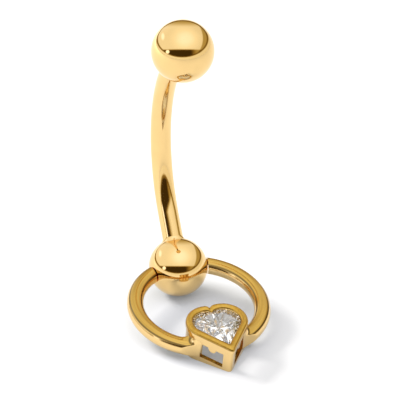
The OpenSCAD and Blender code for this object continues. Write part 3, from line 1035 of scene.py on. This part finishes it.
def tent_light(shader, u, v):
    """Colour of the light tent at the place (u, v) where a mirror ball shows it, over its scale.

    Inside the ellipse e < 1 lies the bright dome, with a dark slit across its lower edge and a dimmer
    panel on its right. A thin dark seam runs round it, and the tent is white outside.
    """
    def ellipse(middle_u, middle_v, half_u, half_v):
        """Distance from a middle, where one is on the ellipse: hypot(du / a, dv / b)."""
        du = shader.maths("DIVIDE", shader.maths("SUBTRACT", u, middle_u), half_u)
        dv = shader.maths("DIVIDE", shader.maths("SUBTRACT", v, middle_v), half_v)
        return shader.maths("SQRT", shader.maths(
            "ADD", shader.maths("MULTIPLY", du, du), shader.maths("MULTIPLY", dv, dv)))

    def times(level, mask, factor):
        """Multiplies the level by the factor where the mask is one."""
        keep = shader.maths("SUBTRACT", 1.0, mask)
        return shader.maths(
            "MULTIPLY", level, shader.maths("ADD", keep, shader.maths("MULTIPLY", mask, factor)))

    edge = ellipse(*DOME)
    inside = shader.ease(edge, *DOME_EASE)
    level = shader.ease(u, *TENT_EASE)
    glow = shader.ease(ellipse(*GLOW), *GLOW_EASE)
    level = shader.maths("ADD", level, shader.maths("MULTIPLY", inside, glow))
    level = times(level, inside, shader.ease(v, *DOME_TOP_EASE))
    panel = shader.ease(ellipse(*PANEL), *PANEL_EASE)
    right = shader.maths("MULTIPLY", panel, shader.ease(u, *PANEL_RIGHT_EASE))
    level = times(level, shader.maths("MULTIPLY", inside, right), PANEL_LEVEL)
    slit = shader.maths("MULTIPLY", inside, shader.ease(v, *SLIT_EASE))
    level = times(level, slit, shader.ease(u, *SLIT_LEVEL_EASE))
    from_edge = shader.maths("ABSOLUTE", shader.maths("SUBTRACT", edge, 1.0))
    level = times(level, shader.ease(from_edge, *SEAM_EASE), SEAM_LEVEL)
    streak = shader.ease(ellipse(*STREAK), *STREAK_EASE)
    lamp = shader.ease(ellipse(*LAMP), *LAMP_EASE)
    level = shader.maths("ADD", level, shader.maths("ADD", streak, lamp))
    stops = [(at / BRIGHTEST, tuple(c / BRIGHTEST for c in shade)) for at, shade in TENT_COLOURS]
    return shader.ramp(shader.maths("DIVIDE", level, BRIGHTEST), stops)


def light_tent(studio, camera):
    """World light of the tent, drawn where a mirror ball seen from the camera's place would show it.

    A direction d shows on the ball at (d . right, d . up) / (2 n), with n = sqrt((1 + d . back) / 2).
    """
    world = bpy.data.worlds.new("light_tent")
    bpy.context.scene.world = world
    world.use_nodes = True
    shader = Shader(world.node_tree)
    way = shader.nodes.new("ShaderNodeTexCoord").outputs["Generated"]
    right, up, back = (tuple(camera.matrix_world.col[i].xyz) for i in range(3))
    facing = shader.maths("ADD", 1.0, shader.vector("DOT_PRODUCT", way, back))
    facing = shader.maths("MAXIMUM", facing, LEAST_FACING)
    twice = shader.maths("SQRT", shader.maths("MULTIPLY", 2.0, facing))
    u = shader.maths("DIVIDE", shader.vector("DOT_PRODUCT", way, right), twice)
    v = shader.maths("DIVIDE", shader.vector("DOT_PRODUCT", way, up), twice)
    # The stone's facets pick up the room as patches of white, dark and warm light
    cells = shader.nodes.new("ShaderNodeTexVoronoi")
    cells.inputs["Scale"].default_value = PATCH_SCALE
    shader.join(way, cells.inputs["Vector"])
    patches = shader.ramp(shader.vector("DOT_PRODUCT", cells.outputs["Color"], PATCH_MIX), PATCH_COLOURS)
    path = shader.nodes.new("ShaderNodeLightPath")
    tint = shader.blend(path.outputs["Is Transmission Ray"], tent_light(shader, u, v), patches)
    background = shader.nodes["Background"]
    shader.join(tint, background.inputs["Color"])
    background.inputs["Strength"].default_value = BRIGHTEST * studio.tent_strength


def direction(azimuth, elevation):
    """Unit vector that points from the ring at an azimuth, from its front to its right, and a height."""
    flat = math.cos(elevation)
    return Vector((math.sin(azimuth) * flat, -math.cos(azimuth) * flat, math.sin(elevation)))


class NAVELRING_OT_studio(bpy.types.Operator):
    """Build the floor, the light tent, the softbox and the camera"""

    bl_idname = "navel_ring.studio"
    bl_label = "Studio"

    def execute(self, context):
        scene = context.scene
        studio = scene.navel_ring_studio
        half = studio.floor_size / 2
        mesh = bpy.data.meshes.new("floor")
        corners = [(-half, -half, 0), (half, -half, 0), (half, half, 0), (-half, half, 0)]
        mesh.from_pydata(corners, [], [(0, 1, 2, 3)])
        paper = bpy.data.materials.new("pale_paper")
        paper.use_nodes = True
        surface = paper.node_tree.nodes["Principled BSDF"]
        surface.inputs["Base Color"].default_value = (*studio.floor_colour, 1.0)
        surface.inputs["Emission Color"].default_value = (1.0, 1.0, 1.0, 1.0)
        surface.inputs["Emission Strength"].default_value = studio.floor_glow
        surface.inputs["Roughness"].default_value = PAPER_ROUGHNESS
        surface.inputs["Specular IOR Level"].default_value = PAPER_SPECULAR
        mesh.materials.append(paper)
        floor = bpy.data.objects.new("floor", mesh)
        scene.collection.objects.link(floor)
        key = bpy.data.lights.new("key_softbox", "AREA")
        key.shape = "RECTANGLE"
        key.size = studio.key_width
        key.size_y = studio.key_height
        key.energy = studio.key_power
        key.color = studio.key_colour
        lamp = bpy.data.objects.new("key_softbox", key)
        lamp.visible_glossy = False
        lamp.visible_transmission = False
        scene.collection.objects.link(lamp)
        spot = studio.key_distance * direction(studio.key_azimuth, studio.key_elevation)
        lamp.matrix_world = Matrix.Translation(spot) @ spot.to_track_quat("Z", "Y").to_matrix().to_4x4()
        view = bpy.data.cameras.new("camera")
        view.lens = studio.camera_lens
        view.sensor_width = SENSOR_WIDTH
        view.clip_start = CLIP_START
        view.clip_end = CLIP_END
        camera = bpy.data.objects.new("camera", view)
        scene.collection.objects.link(camera)
        back = direction(-studio.camera_azimuth, studio.camera_elevation)
        place = Vector(studio.camera_aim) + back * studio.camera_distance
        facing = back.to_track_quat("Z", "Y").to_matrix().to_4x4()
        roll = Matrix.Rotation(studio.camera_roll, 4, "Z")
        camera.matrix_world = Matrix.Translation(place) @ facing @ roll
        scene.camera = camera
        light_tent(studio, camera)
        scene.view_settings.view_transform = "Standard"
        scene.cycles.max_bounces = MOST_BOUNCES
        scene.cycles.glossy_bounces = GLOSSY_BOUNCES
        scene.cycles.transmission_bounces = MOST_BOUNCES
        scene.cycles.blur_glossy = GLOSSY_BLUR
        scene.cycles.caustics_reflective = False
        scene.cycles.caustics_refractive = True
        return {"FINISHED"}


class NAVELRING_PT_panel(bpy.types.Panel):
    """Lists the steps that build the navel ring, and its sizes"""

    bl_label = "Navel Ring"
    bl_idname = "NAVELRING_PT_panel"
    bl_space_type = "VIEW_3D"
    bl_region_type = "UI"
    bl_category = "Navel Ring"

    def draw(self, context):
        for operator in OPERATORS:
            self.layout.operator(operator.bl_idname)
        for name, group in GROUPS.items():
            column = self.layout.column()
            column.label(text=group.__doc__)
            for prop in group.__annotations__:
                column.prop(getattr(context.scene, name), prop)


OPERATORS = (
    NAVELRING_OT_bar,
    NAVELRING_OT_lower_ball,
    NAVELRING_OT_screw_ball,
    NAVELRING_OT_hoop,
    NAVELRING_OT_setting,
    NAVELRING_OT_stone,
    NAVELRING_OT_studio,
)
GROUPS = {
    "navel_ring_bar": BarSizes,
    "navel_ring_hoop": HoopSizes,
    "navel_ring_heart": HeartSizes,
    "navel_ring_stone": StoneSizes,
    "navel_ring_finishes": Finishes,
    "navel_ring_studio": StudioSettings,
}
CLASSES = (*GROUPS.values(), *OPERATORS, NAVELRING_PT_panel)


def register():
    """Registers the classes and hangs the sizes on the scene."""
    for cls in CLASSES:
        bpy.utils.register_class(cls)
    for name, group in GROUPS.items():
        setattr(bpy.types.Scene, name, bpy.props.PointerProperty(type=group))


def unregister():
    """Takes the sizes and the classes away again."""
    for name in GROUPS:
        delattr(bpy.types.Scene, name)
    for cls in reversed(CLASSES):
        bpy.utils.unregister_class(cls)


def main():
    """Builds every piece in order."""
    register()
    bpy.ops.navel_ring.bar()
    bpy.ops.navel_ring.lower_ball()
    bpy.ops.navel_ring.screw_ball()
    bpy.ops.navel_ring.hoop()
    bpy.ops.navel_ring.setting()
    bpy.ops.navel_ring.stone()
    bpy.ops.navel_ring.studio()


if __name__ == "__main__":
    main()
